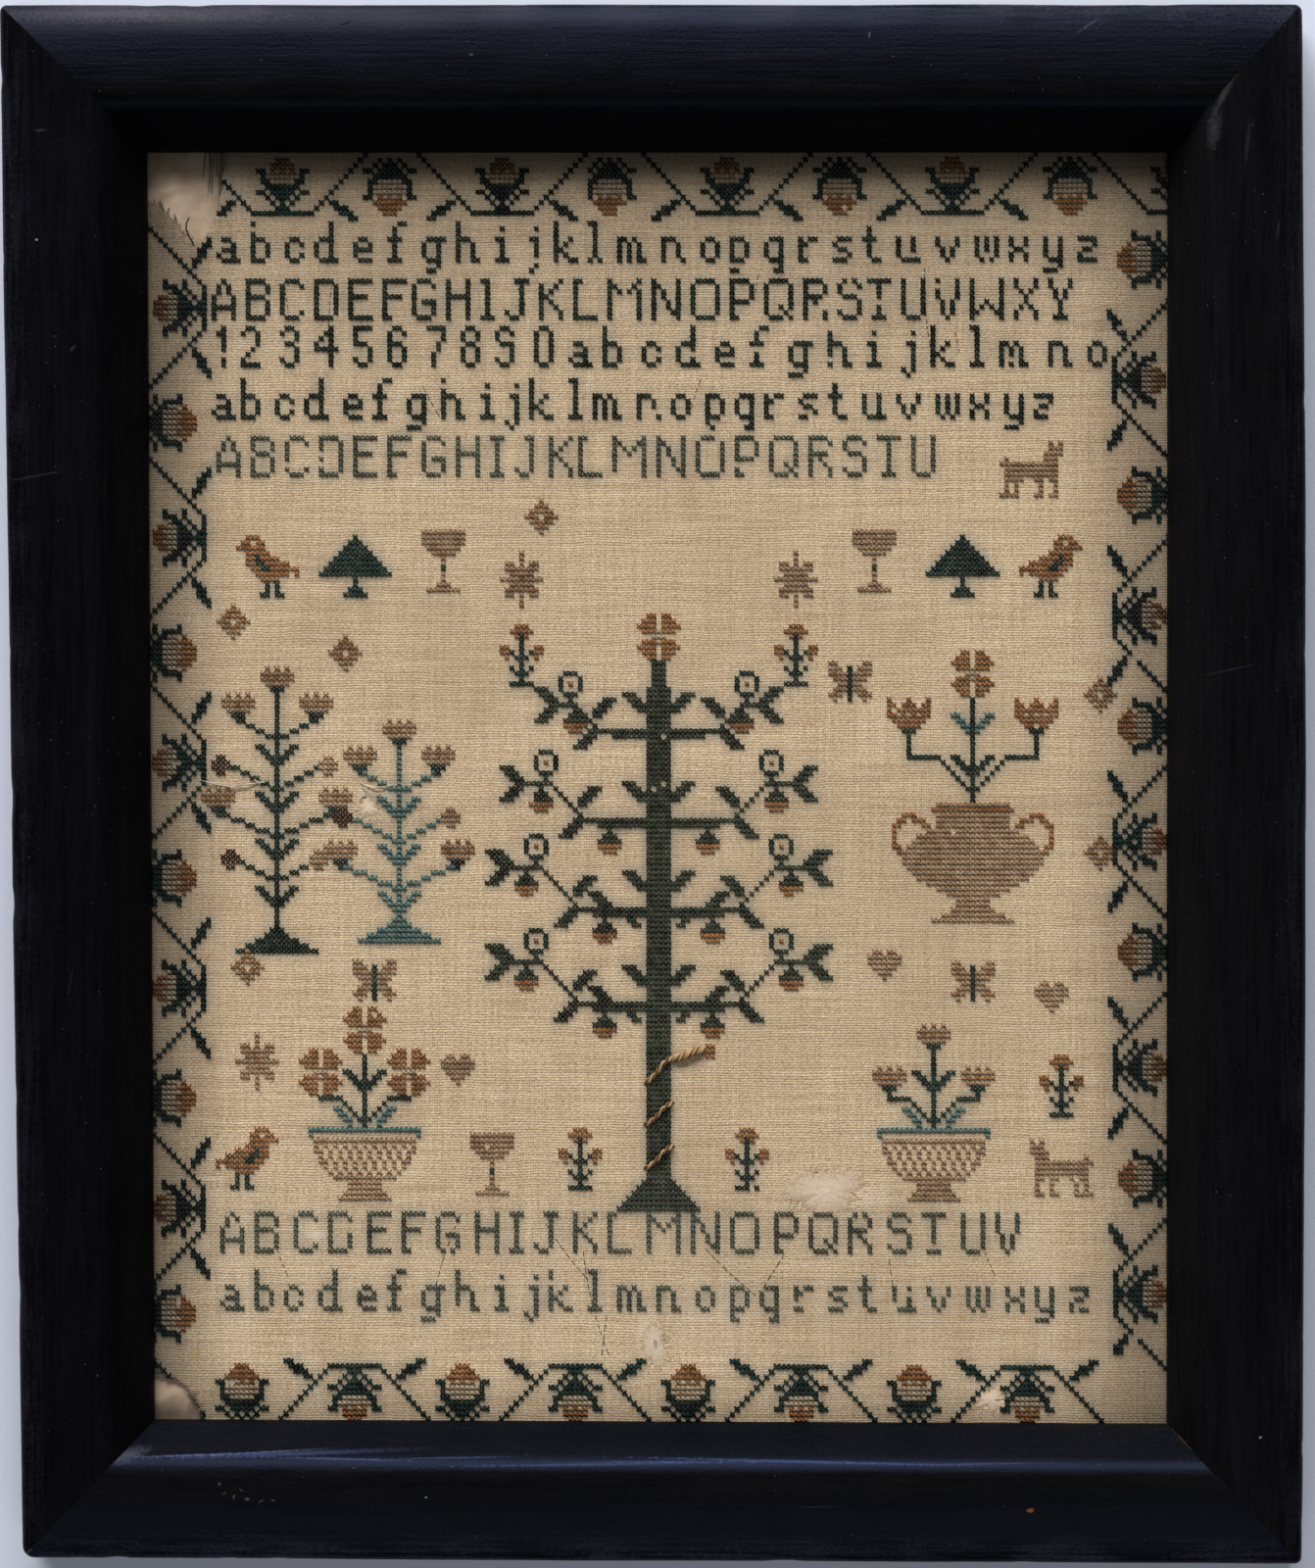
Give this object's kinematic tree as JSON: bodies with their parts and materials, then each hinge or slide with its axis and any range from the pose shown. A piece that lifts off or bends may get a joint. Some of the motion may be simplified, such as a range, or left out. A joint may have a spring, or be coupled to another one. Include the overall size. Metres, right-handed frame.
{
  "type": "framed cross stitch sampler in a black wooden frame",
  "caption": "Old linen sampler worked in coloured cross stitch, held flat in a mitred black-painted wooden frame with a rebate, soft backing and backboard.",
  "frame": {"origin": "middle of the frame's underside, where it lies on a surface", "axes": "+Z out of the picture's face, +Y towards the picture's top, +X to the viewer's right"},
  "size_m": [0.383, 0.456, 0.025],
  "materials": {
    "black_paint": "old black paint on hand-planed softwood, semi-gloss, chipped and rubbed",
    "linen": "unbleached plain-weave linen, browned and stained with age, matt",
    "backing_cotton": "smooth pale cotton, matt",
    "bare_softwood": "sawn softwood board, bare and darkened, matt",
    "green_yarn": "dark blue-green silk or fine wool, faint sheen",
    "brown_yarn": "rust and mid brown yarn, faint sheen",
    "tan_yarn": "tan yarn, faint sheen",
    "cream_yarn": "cream yarn, faint sheen",
    "gold_yarn": "old gold yarn, faint sheen",
    "dark_iron": "small cut iron sprigs, rusted dark"
  },
  "bodies": {
    "root": {"rail_top": "black_paint", "rail_bottom": "black_paint", "rail_left": "black_paint", "rail_right": "black_paint", "sampler_cloth": "linen", "mount_pad": "backing_cotton", "backboard": "bare_softwood"}
  },
  "joints": []
}
